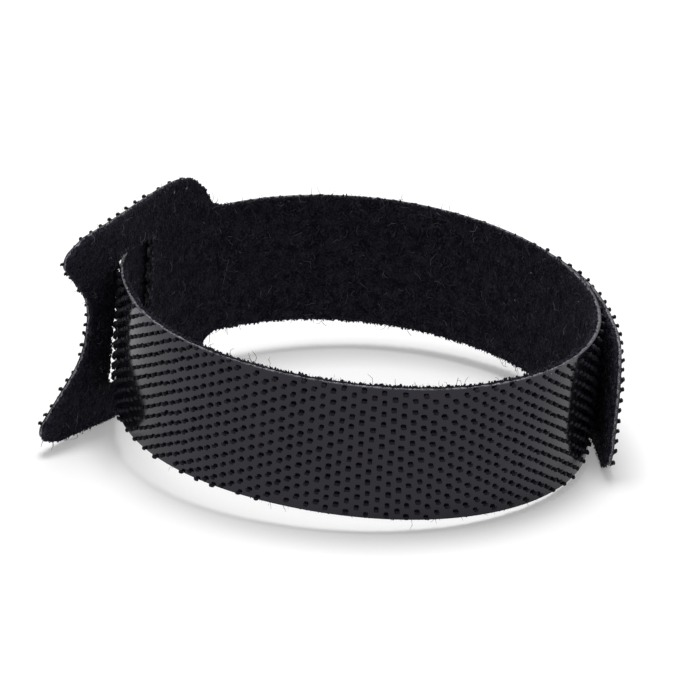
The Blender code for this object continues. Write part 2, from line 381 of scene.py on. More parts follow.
class Route:
    """The strap's middle surface seen from above, from the ends of its ears to its tail, and a
    little further on at both ends for the fibres that stick out there."""

    MARGIN = 2.0 * MM

    def __init__(self):
        count = math.ceil((HEAD_LEAVES_ANGLE - TAIL_LEAVES_ANGLE) / ROUTE_STEP_ANGLE)
        angles = np.linspace(HEAD_LEAVES_ANGLE, TAIL_LEAVES_ANGLE, count + 1)
        turns = round_the_loop(angles)
        leaving = heading_at(angles[0], 1)
        straight = free_stretch(turns[0], leaving, HEAD_LENGTH - SLOT_MIDDLE, 0.0)
        bent = free_stretch(straight[-1], leaving, SLOT_MIDDLE, HEAD_BEND_ANGLE)
        head = np.concatenate([straight, bent])
        tail = free_stretch(turns[-1], heading_at(angles[-1], -1), TAIL_LENGTH, TAIL_BEND_ANGLE)
        points = np.concatenate([head[::-1], turns, tail])
        first = points[0] + (points[0] - points[1]) / math.dist(points[0], points[1]) * self.MARGIN
        last = points[-1] + (points[-1] - points[-2]) / math.dist(points[-1], points[-2]) * self.MARGIN
        self.points = np.concatenate([[first], points, [last]])
        steps = np.linalg.norm(np.diff(self.points, axis=0), axis=1)
        self.runs = np.concatenate([[0.0], np.cumsum(steps)]) - self.MARGIN
        self.length = self.runs[-1] - self.MARGIN
        along = np.gradient(self.points, axis=0)
        along /= np.linalg.norm(along, axis=1)[:, None]
        self.out = np.stack([-along[:, 1], along[:, 0]], -1)
        first_turns = np.zeros(len(head) + 1)
        self.passed = np.concatenate([first_turns, passed(angles), np.ones(len(tail) + 1)])

    def at(self, s):
        """The points, the ways out of the hook side and how far the strap has passed there."""
        point = np.stack([np.interp(s, self.runs, self.points[:, k]) for k in range(2)], -1)
        out = np.stack([np.interp(s, self.runs, self.out[:, k]) for k in range(2)], -1)
        out /= np.linalg.norm(out, axis=1)[:, None]
        return point, out, np.interp(s, self.runs, self.passed)


ROUTE = Route()


def wrapped(flat):
    """Points of the flat strap, with s along it from its ears, c across it and t out of its hook
    side, where they lie on the closed tie at rest."""
    s, c, t = np.asarray(flat, float).T
    point, out, turned = ROUTE.at(s)
    free = smooth(1 - s / HEAD_TWIST_LENGTH)
    twist = np.radians(HEAD_TWIST_ANGLE) * free
    aside = t * np.cos(twist) - c * np.sin(twist)
    up = c * np.cos(twist) + t * np.sin(twist)
    height = STRAP_WIDTH / 2 + HEAD_RISE * free - LAYER_DROP * turned + up
    loop = np.column_stack([point + out * aside[:, None], height])
    axis = Vector((math.cos(math.radians(LEAN_AXIS_ANGLE)), math.sin(math.radians(LEAN_AXIS_ANGLE)), 0))
    lean = np.array(Matrix.Rotation(math.radians(LEAN_ANGLE), 3, axis))
    return loop @ lean.T - np.array(REST_CENTRE)


# The die-cut outline


def rounded(corners):
    """A closed outline with each corner (s, c, radius) replaced by an arc of that radius."""
    outline = []
    for i, (s, c, radius) in enumerate(corners):
        corner = Vector((s, c))
        before = (Vector(corners[i - 1][:2]) - corner).normalized()
        after = (Vector(corners[(i + 1) % len(corners)][:2]) - corner).normalized()
        half = before.angle(after) / 2
        if half > math.radians(STRAIGHT_CORNER_ANGLE) / 2:
            outline.append(corner)
            continue
        middle = corner + (before + after).normalized() * (radius / math.sin(half))
        first = corner + before * (radius / math.tan(half)) - middle
        sweep = math.pi - 2 * half
        way = 1 if first.x * (corner - middle).y - first.y * (corner - middle).x > 0 else -1
        count = max(2, math.ceil(math.degrees(sweep) / ARC_STEP_ANGLE))
        for k in range(count + 1):
            outline.append(middle + Matrix.Rotation(way * sweep * k / count, 2) @ first)
    return outline


def strap_outline():
    """The die-cut shape: ears and notch, head, neck, strap and rounded tail."""
    half_head = HEAD_WIDTH / 2
    half_strap = STRAP_WIDTH / 2
    neck = SLOT_END + NECK_TO_SLOT
    tip = half_head - EAR_SLOPE
    half = [
        (ROUTE.length, half_strap, TAIL_CORNER),
        (neck, half_strap, NECK_FILLET),
        (neck - SHOULDER_RUN, half_head, SHOULDER_RADIUS),
        (EAR_TAPER, half_head, EAR_TAPER),
        (0.0, tip, EAR_RADIUS),
        (0.0, tip - EAR_WIDTH, EAR_RADIUS),
        (SLOT_START - SLOT_TO_NOTCH, NOTCH_RADIUS / 2, NOTCH_RADIUS),
    ]
    mirrored = [(s, -c, radius) for s, c, radius in reversed(half)]
    return rounded(half + mirrored)


def slot_outline():
    """The slot in the head."""
    half = STRAP_WIDTH / 2 + SLOT_SIDE_CLEARANCE
    ends = ((SLOT_START, half), (SLOT_START, -half), (SLOT_END, -half), (SLOT_END, half))
    return rounded([(s, c - SLOT_DROP, SLOT_CORNER) for s, c in ends])


STRAP_OUTLINE = np.array([tuple(p) for p in strap_outline()])
SLOT_OUTLINE = np.array([tuple(p) for p in slot_outline()])


def inside(points, outline):
    """Which flat points lie inside a closed outline."""
    s, c = points[:, 0], points[:, 1]
    found = np.zeros(len(points), bool)
    for a, b in zip(outline, np.roll(outline, -1, 0)):
        spans = (a[1] > c) != (b[1] > c)
        rise = b[1] - a[1]
        crossing = a[0] + (c - a[1]) * (b[0] - a[0]) / (rise if rise else SAME_POINT)
        found ^= spans & (s < crossing)
    return found


def edge_distance(points, outline):
    """How far flat points lie from an outline, and the way from the nearest place on it."""
    best = np.full(len(points), np.inf)
    way = np.zeros((len(points), 2))
    for a, b in zip(outline, np.roll(outline, -1, 0)):
        length2 = ((b - a) ** 2).sum()
        share = np.clip(((points - a) @ (b - a)) / max(length2, SAME_POINT**2), 0, 1)
        off = points - (a + share[:, None] * (b - a))
        distance = np.linalg.norm(off, axis=1)
        nearer = distance < best
        best[nearer] = distance[nearer]
        way[nearer] = off[nearer]
    return best, way


# Each cut edge: its outline, 1 where the strap lies inside it and -1 where it lies outside, how
# closely its tufts stand, and how far past it they reach
RIMS = ((STRAP_OUTLINE, 1, 0.07 * MM, 0.08 * MM), (SLOT_OUTLINE, -1, 0.03 * MM, 0.38 * MM))


def on_the_strap(points, margin):
    """Which flat points lie on the strap, at least margin inside its cut edges."""
    whole = inside(points, STRAP_OUTLINE) & ~inside(points, SLOT_OUTLINE)
    outer = edge_distance(points, STRAP_OUTLINE)[0]
    inner = edge_distance(points, SLOT_OUTLINE)[0]
    return whole & (outer > margin) & (inner > margin)


def pushed_inwards(points):
    """The points, with those just outside the strap's outline moved just inside it: the die cuts
    through the hooks that stand there."""
    distance, off = edge_distance(points, STRAP_OUTLINE)
    near = ~inside(points, STRAP_OUTLINE) & (distance < CUT_REACH)
    step = off / np.maximum(distance, SAME_POINT)[:, None] * (distance + 2 * CUT_MARGIN)[:, None]
    return np.where(near[:, None], points - step, points)


# Modelling


def select_only(piece):
    """Deselects everything else and makes the piece active."""
    bpy.ops.object.select_all(action="DESELECT")
    piece.select_set(True)
    bpy.context.view_layer.objects.active = piece


def plate(name, outline, low, high):
    """A flat plate of that outline from t = low to t = high."""
    bpy.ops.object.select_all(action="DESELECT")
    bpy.ops.mesh.primitive_circle_add(vertices=len(outline), fill_type="NGON")
    piece = bpy.context.object
    piece.name = name
    piece.data.name = name
    for v, (s, c) in zip(piece.data.vertices, outline):
        v.co = (s, c, low)
    bpy.ops.object.mode_set(mode="EDIT")
    bpy.ops.mesh.select_all(action="SELECT")
    bpy.ops.mesh.extrude_region_move(TRANSFORM_OT_translate={"value": (0, 0, high - low)})
    bpy.ops.mesh.select_all(action="SELECT")
    bpy.ops.mesh.normals_make_consistent(inside=False)
    bpy.ops.object.mode_set(mode="OBJECT")
    return piece


def cut_slot(piece, low, high):
    """Cuts the head's slot through a flat plate."""
    cutter = plate("slot_cutter", SLOT_OUTLINE, 2 * low - high, 2 * high - low)
    cut = piece.modifiers.new("slot", "BOOLEAN")
    cut.object = cutter
    cut.solver = "EXACT"
    select_only(piece)
    bpy.ops.object.modifier_apply(modifier=cut.name)
    bpy.data.objects.remove(cutter)


def cut_at(piece, places, way):
    """Cuts a piece's faces across that way at each of those places."""
    select_only(piece)
    bpy.ops.object.mode_set(mode="EDIT")
    for place in places:
        bpy.ops.mesh.select_all(action="SELECT")
        bpy.ops.mesh.bisect(plane_co=place, plane_no=way, threshold=SAME_POINT)
    bpy.ops.object.mode_set(mode="OBJECT")


def cut_across(piece, station):
    """Cuts a flat plate across at even stations, so that it can bend."""
    count = math.ceil(ROUTE.length / station)
    cut_at(piece, [(ROUTE.length * i / count, 0, 0) for i in range(1, count)], (1, 0, 0))


def coordinates(piece):
    """The piece's vertices as an array."""
    co = np.zeros(len(piece.data.vertices) * 3)
    piece.data.vertices.foreach_get("co", co)
    return co.reshape(-1, 3)


def move_to(piece, co):
    """Puts the piece's vertices there."""
    piece.data.vertices.foreach_set("co", np.asarray(co, np.float32).ravel())
    piece.data.update()


def turn_outwards(piece):
    """Makes the piece's faces triangles that point out of it."""
    select_only(piece)
    bpy.ops.object.mode_set(mode="EDIT")
    bpy.ops.mesh.select_all(action="SELECT")
    bpy.ops.mesh.quads_convert_to_tris(quad_method="SHORTEST_DIAGONAL", ngon_method="CLIP")
    bpy.ops.mesh.normals_make_consistent(inside=False)
    bpy.ops.object.mode_set(mode="OBJECT")


def mesh_piece(name, vertices, faces, shades=None):
    """One piece from many small shapes, with a shade from 0 to 1 at each vertex where given."""
    mesh = bpy.data.meshes.new(name)
    mesh.vertices.add(len(vertices))
    mesh.vertices.foreach_set("co", np.asarray(vertices, np.float32).ravel())
    sizes = np.array([len(face) for face in faces])
    mesh.loops.add(int(sizes.sum()))
    mesh.loops.foreach_set("vertex_index", np.concatenate(faces).astype(np.int32))
    mesh.polygons.add(len(faces))
    starts = np.concatenate([[0], np.cumsum(sizes)[:-1]])
    mesh.polygons.foreach_set("loop_start", starts.astype(np.int32))
    mesh.update(calc_edges=True)
    if shades is not None:
        shade = mesh.attributes.new("shade", "FLOAT", "POINT")
        shade.data.foreach_set("value", np.asarray(shades, np.float32))
    mesh.validate()
    piece = bpy.data.objects.new(name, mesh)
    bpy.context.scene.collection.objects.link(piece)
    return piece


def keep(piece, material):
    """Gives a finished piece its material, and lets it stand for the frame's strap."""
    piece.data.materials.clear()
    piece.data.materials.append(material)
    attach(piece, "root")
    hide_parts("strap")
    return piece


# Materials


def new_material(name, colour, roughness):
    """A material, its nodes, its links and its shader."""
    material = bpy.data.materials.new(name)
    material.use_nodes = True
    nodes, links = material.node_tree.nodes, material.node_tree.links
    shader = nodes["Principled BSDF"]
    shader.inputs["Base Color"].default_value = (*colour, 1)
    shader.inputs["Roughness"].default_value = roughness
    shader.inputs["Metallic"].default_value = 0
    material.diffuse_color = (*colour, 1)
    return material, nodes, links, shader


def mottle_group():
    """The mottling that the finishes share: a mask of soft blotches and fine grain together."""
    group = bpy.data.node_groups.get("mottle")
    if group:
        return group
    group = bpy.data.node_groups.new("mottle", "ShaderNodeTree")
    sockets = group.interface
    sockets.new_socket("Vector", in_out="INPUT", socket_type="NodeSocketVector")
    for name, value in (("Blotch Scale", 900.0), ("Grain Scale", 6000.0), ("Grain", 0.5)):
        socket = sockets.new_socket(name, in_out="INPUT", socket_type="NodeSocketFloat")
        socket.default_value = value
    sockets.new_socket("Mask", in_out="OUTPUT", socket_type="NodeSocketFloat")
    nodes, links = group.nodes, group.links
    start = nodes.new("NodeGroupInput")
    end = nodes.new("NodeGroupOutput")
    blotch = nodes.new("ShaderNodeTexNoise")
    grain = nodes.new("ShaderNodeTexNoise")
    grain.inputs["Detail"].default_value = 1.0
    mix = nodes.new("ShaderNodeMix")
    links.new(start.outputs["Vector"], blotch.inputs["Vector"])
    links.new(start.outputs["Vector"], grain.inputs["Vector"])
    links.new(start.outputs["Blotch Scale"], blotch.inputs["Scale"])
    links.new(start.outputs["Grain Scale"], grain.inputs["Scale"])
    links.new(start.outputs["Grain"], mix.inputs["Factor"])
    links.new(blotch.outputs["Fac"], mix.inputs["A"])
    links.new(grain.outputs["Fac"], mix.inputs["B"])
    links.new(mix.outputs["Result"], end.inputs["Mask"])
    return group


def mottle(nodes, links, blotch, grain, share):
    """A mottle group's mask in a material, on the object's own coordinates. The scales of its
    blotches and its grain are per metre, and share is how much of it is grain."""
    place = nodes.new("ShaderNodeTexCoord")
    group = nodes.new("ShaderNodeGroup")
    group.node_tree = mottle_group()
    group.inputs["Blotch Scale"].default_value = blotch
    group.inputs["Grain Scale"].default_value = grain
    group.inputs["Grain"].default_value = share
    links.new(place.outputs["Object"], group.inputs["Vector"])
    return group.outputs["Mask"]


def times(colour, factor):
    """A colour with each of its parts multiplied."""
    return [v * factor for v in colour]


def tint(nodes, links, shader, mask, low, high, dark, light):
    """Colours a shader from dark to light as the mask goes from low to high."""
    node = nodes.new("ShaderNodeValToRGB")
    node.color_ramp.elements[0].position = low
    node.color_ramp.elements[0].color = (*dark, 1)
    node.color_ramp.elements[1].position = high
    node.color_ramp.elements[1].color = (*light, 1)
    links.new(mask, node.inputs["Fac"])
    links.new(node.outputs["Color"], shader.inputs["Base Color"])


def dull(nodes, links, shader, mask, low, high, start, end):
    """Takes a shader's roughness from start to end as the mask goes from low to high."""
    node = nodes.new("ShaderNodeMapRange")
    node.inputs["From Min"].default_value = low
    node.inputs["From Max"].default_value = high
    node.inputs["To Min"].default_value = start
    node.inputs["To Max"].default_value = end
    links.new(mask, node.inputs["Value"])
    links.new(node.outputs["Result"], shader.inputs["Roughness"])


def roughen(nodes, links, shader, mask, strength, distance):
    """Bumps a shader's surface by a mask."""
    bump = nodes.new("ShaderNodeBump")
    bump.inputs["Strength"].default_value = strength
    bump.inputs["Distance"].default_value = distance
    links.new(mask, bump.inputs["Height"])
    links.new(bump.outputs["Normal"], shader.inputs["Normal"])


def film_material(colours):
    """Smooth moulded film with a satin gloss and faint flow marks."""
    material, nodes, links, shader = new_material("satin_film", colours.film, 0.13)
    shader.inputs["IOR"].default_value = 1.425
    shader.inputs["Specular Tint"].default_value = (*colours.sheen, 1)
    mask = mottle(nodes, links, blotch=260.0, grain=9000.0, share=0.35)
    dark, light = times(colours.film, 0.8), times(colours.film, 1.35)
    tint(nodes, links, shader, mask, 0.3, 0.7, dark, light)
    dull(nodes, links, shader, mask, 0.3, 0.7, 0.1, 0.16)
    roughen(nodes, links, shader, mask, 0.25, 0.01 * MM)
    return material


def hook_material(colours):
    """The hooks, moulded with the film but darker and less glossy."""
    material, nodes, links, shader = new_material("moulded_hooks", colours.hook, 0.5)
    shader.inputs["Specular IOR Level"].default_value = 0.1
    mask = mottle(nodes, links, blotch=500.0, grain=5000.0, share=0.4)
    dark, light = times(colours.hook, 0.7), times(colours.hook, 1.5)
    tint(nodes, links, shader, mask, 0.3, 0.7, dark, light)
    dull(nodes, links, shader, mask, 0.3, 0.7, 0.4, 0.55)
    return material


def core_material(colours):
    """The bonded core's cut edge: pale, speckled with cut fibres."""
    material, nodes, links, shader = new_material("cut_edge", colours.core, 0.7)
    mask = mottle(nodes, links, blotch=2600.0, grain=8000.0, share=0.6)
    dark, light = times(colours.core, 0.15), times(colours.core, 2.6)
    tint(nodes, links, shader, mask, 0.42, 0.62, dark, light)
    roughen(nodes, links, shader, mask, 0.6, 0.05 * MM)
    return material


def backing_material(colours):
    """The knitted ground that the pile grows from."""
    material, nodes, links, shader = new_material("pile_ground", colours.pile, 0.95)
    shader.inputs["Specular IOR Level"].default_value = 0.13
    shader.inputs["Specular Tint"].default_value = PILE_SHEEN
    mask = mottle(nodes, links, blotch=1100.0, grain=6500.0, share=0.55)
    light = [0.8 * a + 0.2 * b for a, b in zip(colours.pile, colours.worn_pile)]
    tint(nodes, links, shader, mask, 0.42, 0.75, colours.pile, light)
    roughen(nodes, links, shader, mask, 0.9, 0.12 * MM)
    return material


def fibre_material(colours):
    """The pile's fibres, each with its own shade."""
    material, nodes, links, shader = new_material("pile_fibre", colours.pile, 0.75)
    shader.inputs["Specular IOR Level"].default_value = 0.22
    shader.inputs["Specular Tint"].default_value = PILE_SHEEN
    # The shade is each fibre's and tuft's own tone at random, but on the slot's wall tufts it is raised:
    # painted light.
    shade = nodes.new("ShaderNodeAttribute")
    shade.attribute_name = "shade"
    tint(nodes, links, shader, shade.outputs["Fac"], 0.0, 1.0, colours.pile, colours.worn_pile)
    return material


def lint_material(colours):
    """Pale lint."""
    material, nodes, links, shader = new_material("lint", colours.lint, 0.9)
    mask = mottle(nodes, links, blotch=2000.0, grain=9000.0, share=0.5)
    tint(nodes, links, shader, mask, 0.35, 0.65, times(colours.lint, 0.5), colours.lint)
    return material


# Fibres


def fibre_paths(rng, roots, directions, lengths, heights, ends, points):
    """Flat paths of fibres that leave their roots on the pile side in those directions, arch to
    their heights and come down again, or stay up where ends is 1."""
    share = np.linspace(0.0, 1.0, points)
    arch = np.sin(np.pi * share) * (1 - ends[:, None]) + np.sin(np.pi / 2 * share) * ends[:, None]
    run = share * lengths[:, None]
    curl = rng.uniform(-FIBRE_CURL, FIBRE_CURL, len(roots)) * lengths
    curl = curl[:, None] * np.sin(np.pi * share)
    sway = rng.normal(0.0, FIBRE_SWAY, (len(roots), points)) * lengths[:, None]
    across = np.stack([-directions[:, 1], directions[:, 0]], -1)
    flat = roots[:, None, :2] + directions[:, None] * run[..., None]
    flat = flat + across[:, None] * (curl + sway)[..., None]
    depth = roots[:, None, 2] - arch * heights[:, None]
    return np.concatenate([flat, depth[..., None]], -1)


def fibre_tubes(paths, radii):
    """Closed three-sided tubes along the paths: their vertices, one row per fibre, and the sides
    and ends of one of them."""
    count, points, _ = paths.shape
    along = np.gradient(paths, axis=1)
    along /= np.maximum(np.linalg.norm(along, axis=2, keepdims=True), NO_LENGTH)
    up = np.array([0.0, 0.0, 1.0]) + 0.3 * along[:, :, [1, 2, 0]]
    side = np.cross(along, up)
    side /= np.maximum(np.linalg.norm(side, axis=2, keepdims=True), NO_LENGTH)
    top = np.cross(side, along)
    taper = np.ones(points)
    taper[-1] = 0.5
    rings = []
    for k in range(3):
        turn = 2 * math.pi * k / 3
        offset = side * math.cos(turn) + top * math.sin(turn)
        rings.append(paths + offset * radii[:, None, None] * taper[None, :, None])
    vertices = np.stack(rings, 2).reshape(count, points * 3, 3)
    faces = []
    for i in range(points - 1):
        for k in range(3):
            a, b = 3 * i + k, 3 * i + (k + 1) % 3
            faces.append((a, b, b + 3, a + 3))
    caps = [(2, 1, 0), (3 * points - 3, 3 * points - 2, 3 * points - 1)]
    return vertices, faces, caps


def clumps(points):
    """Soft patches from 0 to 1 over the flat strap, about a millimetre across."""
    rng = np.random.default_rng(CLUMP_SEED)
    waves = rng.normal(0.0, 1.0, (CLUMP_WAVES, 2)) * 2 * math.pi / CLUMP_SIZE
    phases = rng.uniform(0.0, 2 * math.pi, CLUMP_WAVES)
    height = np.cos(points[:, :2] @ waves.T + phases).mean(1)
    return np.clip(0.5 + CLUMP_CONTRAST * height, 0.0, 1.0)


def above_the_floor(points):
    """The points, with those that the floor would hide lifted onto it."""
    points[:, 2] = np.maximum(points[:, 2], FLOOR_CLEARANCE)
    return points


def fibre_piece(name, rng, paths, radius, shade_power, material):
    """One piece of many fibres, wrapped round with the strap. A higher power makes more of them
    dark."""
    count = len(paths)
    radii = radius * rng.uniform(0.7, 1.3, count)
    vertices, sides, caps = fibre_tubes(paths, radii)
    size = vertices.shape[1]
    flat = vertices.reshape(-1, 3)
    starts = np.arange(count)[:, None, None] * size
    quads = (np.array(sides)[None] + starts).reshape(-1, 4)
    tris = (np.array(caps)[None] + starts).reshape(-1, 3)
    shades = FIBRE_SHADE * rng.uniform(0.0, 1.0, count) ** shade_power
    shades = shades * (0.35 + clumps(paths[:, 0]))
    shades = np.where(rng.random(count) < WORN_SHARE, rng.uniform(WORN_SHADE, 1.0, count), shades)
    shades = np.repeat(shades, size)
    piece = mesh_piece(name, above_the_floor(wrapped(flat)), [*quads, *tris], shades)
    piece.data.shade_smooth()
    return keep(piece, material)


def scattered(rng, low, high, per_mm2, margin):
    """Flat points scattered on the strap between two stations, margin inside its cut edges."""
    area = (high - low) * HEAD_WIDTH
    count = int(area / MM**2 * per_mm2)
    points = np.column_stack([
        rng.uniform(low, high, count), rng.uniform(-HEAD_WIDTH / 2, HEAD_WIDTH / 2, count)])
    return points[on_the_strap(points, margin)]


def rotated(flat, angle):
    """Flat points or ways, turned by an angle in radians."""
    s, c = flat[..., 0], flat[..., 1]
    return np.stack([s * np.cos(angle) - c * np.sin(angle), s * np.sin(angle) + c * np.cos(angle)], -1)


def ways(rng, count):
    """Directions in the fabric's plane, rather more of them across the strap."""
    angle = rng.uniform(0.0, 2 * math.pi, count)
    way = np.stack([np.cos(angle), 1.5 * np.sin(angle)], -1)
    return way / np.linalg.norm(way, axis=1)[:, None]


def tufts_piece(name, pile, material, places, seed, painted_light=1.0):
    """Matted tufts at those places on the flat strap, each a rounded lump with its own shade, in
    all some times paler than the open pile's; any such paleness is painted light."""
    rng = np.random.default_rng(pile.seed + seed)
    bpy.ops.object.select_all(action="DESELECT")
    bpy.ops.mesh.primitive_ico_sphere_add(subdivisions=1, radius=1.0)
    lump = bpy.context.object
    shape = coordinates(lump)
    corners = np.array([tuple(face.vertices) for face in lump.data.polygons])
    bpy.data.objects.remove(lump)
    count = len(places)
    sizes = pile.tuft_length * rng.uniform(TUFT_SMALLEST, TUFT_LARGEST, (count, 3))
    turn = rng.normal(0.0, TUFT_TURN, count)
    flat = shape[None] * sizes[:, None]
    flat[..., :2] = rotated(flat, turn[:, None])
    flat += places[:, None]
    size = len(shape)
    faces = (corners[None] + np.arange(count)[:, None, None] * size).reshape(-1, 3)
    # A factor above 1 raises every shade: painted light, not the pile's own tone.
    shades = painted_light * TUFT_SHADE * rng.uniform(0.3, 0.7, count) * (0.3 + clumps(places))
    shades = np.repeat(np.clip(shades, 0, 1), size)
    piece = mesh_piece(name, above_the_floor(wrapped(flat.reshape(-1, 3))), [*faces], shades)
    turn_outwards(piece)
    piece.data.shade_smooth()
    return keep(piece, material)


def pile_piece(name, pile, material, low, high, seed, per_mm2, height, kind):
    """Fibres of one kind between two stations: loops, or the nap."""
    margin, length_range, height_range, end, points, shade_power = kind
    rng = np.random.default_rng(pile.seed + seed)
    roots = scattered(rng, low, high, per_mm2, margin)
    count = len(roots)
    roots = np.column_stack([roots, np.full(count, PILE_DEPTH)])
    lengths = pile.loop_length * rng.uniform(*length_range, count)
    heights = height * rng.uniform(*height_range, count)
    paths = fibre_paths(rng, roots, ways(rng, count), lengths, heights, np.full(count, end), points)
    return fibre_piece(name, rng, paths, pile.fibre_radius, shade_power, material)


def walked(outline, step):
    """Points at even steps round a closed outline, and the ways out of it there."""
    ends = np.roll(outline, -1, 0)
    lengths = np.linalg.norm(ends - outline, axis=1)
    runs = np.concatenate([[0.0], np.cumsum(lengths)])
    place = np.arange(0.0, runs[-1], step)
    index = np.clip(np.searchsorted(runs, place, side="right") - 1, 0, len(outline) - 1)
    lengths = np.maximum(lengths[index], NO_LENGTH)[:, None]
    share = (place - runs[index])[:, None] / lengths
    points = outline[index] * (1 - share) + ends[index] * share
    along = (ends[index] - outline[index]) / lengths
    area = (outline[:, 0] * ends[:, 1] - ends[:, 0] * outline[:, 1]).sum()
    outward = np.stack([along[:, 1], -along[:, 0]], -1) * np.sign(area)
    return points, outward


def rim_places(rng):
    """Places for tufts that roll over the strap's cut edges."""
    rims = []
    for outline, way, spacing, over in RIMS:
        points, outward = walked(outline, spacing)
        inset = rng.uniform(-over, RIM_INSET, len(points))
        rims.append(points - way * outward * inset[:, None])
    rims = np.concatenate(rims)
    rims = rims[(rims[:, 0] < CLEAN_START) | (rng.random(len(rims)) < RIM_SHARE)]
    depth = -STRAP_THICKNESS / 2 + RIM_DEPTH * rng.uniform(0.0, 1.0, len(rims)) ** RIM_BIAS
    return np.column_stack([rims, depth])


def wall_places(rng):
    """Places for tufts on the slot's wall, at its top and on the side near the neck."""
    wall, outward = walked(SLOT_OUTLINE, WALL_SPACING)
    seen = (wall[:, 0] > SLOT_MIDDLE) | (wall[:, 1] > WALL_TOP)
    wall = wall[seen] - outward[seen] * rng.uniform(0.0, WALL_REACH, seen.sum())[:, None]
    depth = rng.uniform(-STRAP_THICKNESS / 2, STRAP_THICKNESS / 2, len(wall))
    return np.column_stack([wall, depth])


# Hooks


def one_hook(hooks):
    """One hook's vertices, standing on its own place, and its faces: a stem with a barb on each
    side, drawn in outline, made as thick as it is and narrowed at both ends."""
    reach, top = hooks.length / 2, hooks.height
    stem = 0.3 * reach
    side = [
        (2.0 * stem, -HOOK_ROOT), (stem, 0.7 * top), (reach, 0.5 * top), (reach, 0.66 * top),
        (0.45 * reach, top),
    ]
    profile = side + [(-s, t) for s, t in reversed(side)]
    hook = plate("hook", profile, -hooks.width / 2, hooks.width / 2)
    cut_at(hook, [(0, 0, 0)], (0, 0, 1))
    shape = coordinates(hook)
    ends = abs(shape[:, 2]) > hooks.width / 4
    shape[ends, :2] *= 0.9
    polygons = [tuple(face.vertices) for face in hook.data.polygons]
    bpy.data.objects.remove(hook)
    return shape[:, [0, 2, 1]], polygons


def hook_places(hooks):
    """Where the hooks stand on the flat strap: a lattice in which every other column is half a
    pitch aside."""
    count = math.ceil(ROUTE.length / hooks.pitch_along)
    rows = np.arange(-HOOK_ROWS, HOOK_ROWS + 1) * hooks.pitch_across
    places = []
    for i in range(-count, count):
        shift = hooks.drift * i + 0.5 * hooks.pitch_across * (i % 2)
        shift = (HOOK_PLACE[1] + shift) % hooks.pitch_across
        s = HOOK_PLACE[0] + hooks.pitch_along * i
        places.append(np.column_stack([np.full(len(rows), s), rows + shift]))
    places = pushed_inwards(np.concatenate(places))
    clean = (places[:, 0] > CLEAN_START) & (places[:, 0] < CLEAN_END)
    return places[on_the_strap(places, np.where(clean, HOOK_MARGIN, CUT_MARGIN))]


# Operators


class TIE_OT_laminate(bpy.types.Operator):
    """Model the strap's three bonded layers: the film, the core and the pile's ground"""

    bl_idname = "tie.laminate"
    bl_label = "Laminate"

    def execute(self, context):
        colours = context.scene.tie_colours
        outside = STRAP_THICKNESS / 2
        film_low = outside - FILM_THICKNESS
        core_low = film_low - CORE_THICKNESS
        layers = (
            ("hook_film", film_low, outside, FILM_STATION, 0.0, film_material(colours)),
            ("bonded_core", core_low, film_low, CORE_STATION, CORE_RAGGEDNESS, core_material(colours)),
            ("pile_ground", -outside, core_low, FILM_STATION, 0.0, backing_material(colours)),
        )
        made = []
        for name, low, high, station, raggedness, material in layers:
            piece = plate(name, STRAP_OUTLINE, low, high)
            cut_slot(piece, low, high)
            cut_across(piece, station)
            co = coordinates(piece)
            rng = np.random.default_rng(CORE_SEED)
            co[:, 1] += rng.uniform(-raggedness, raggedness, len(co))
            move_to(piece, wrapped(co))
            turn_outwards(piece)
            bpy.ops.object.shade_smooth_by_angle(angle=math.radians(LAYER_EDGE_ANGLE))
            keep(piece, material)
            made.append(coordinates(piece))
        made = np.concatenate(made)
        box = np.array([made.min(0), made.max(0)])
        if abs(box - np.array(CAD_BOX)).max() > FIT_TOLERANCE:
            raise RuntimeError(f"the laminate fills {box}, and the frame's strap {CAD_BOX}")
        return {"FINISHED"}


class TIE_OT_hooks(bpy.types.Operator):
    """Model one hook and copy it to every place in the strap's lattice of hooks"""

    bl_idname = "tie.hooks"
    bl_label = "Hooks"

    def execute(self, context):
        hooks = context.scene.tie_hooks
        material = hook_material(context.scene.tie_colours)
        shape, polygons = one_hook(hooks)
        places = hook_places(hooks)
        half = ROUTE.length / 2
        groups = (
            ("hooks_first_turn", places[places[:, 0] < half]),
            ("hooks_second_turn", places[places[:, 0] >= half]),
        )
        for seed, (name, stations) in enumerate(groups):
            vertices, faces = [], []
            rng = np.random.default_rng(HOOK_SEED + seed)
            for k, (s, c) in enumerate(stations):
                bent = shape * rng.uniform(1 - HOOK_UNEVENNESS, 1 + HOOK_UNEVENNESS, 3)
                bent[:, :2] += bent[:, 2:] * rng.normal(0.0, HOOK_LEAN, 2)
                vertices.append(bent + (s, c, STRAP_THICKNESS / 2))
                faces += [tuple(v + k * len(shape) for v in face) for face in polygons]
            piece = mesh_piece(name, above_the_floor(wrapped(np.concatenate(vertices))), faces)
            turn_outwards(piece)
            bpy.ops.object.shade_smooth_by_angle(angle=math.radians(HOOK_EDGE_ANGLE))
            keep(piece, material)
        return {"FINISHED"}


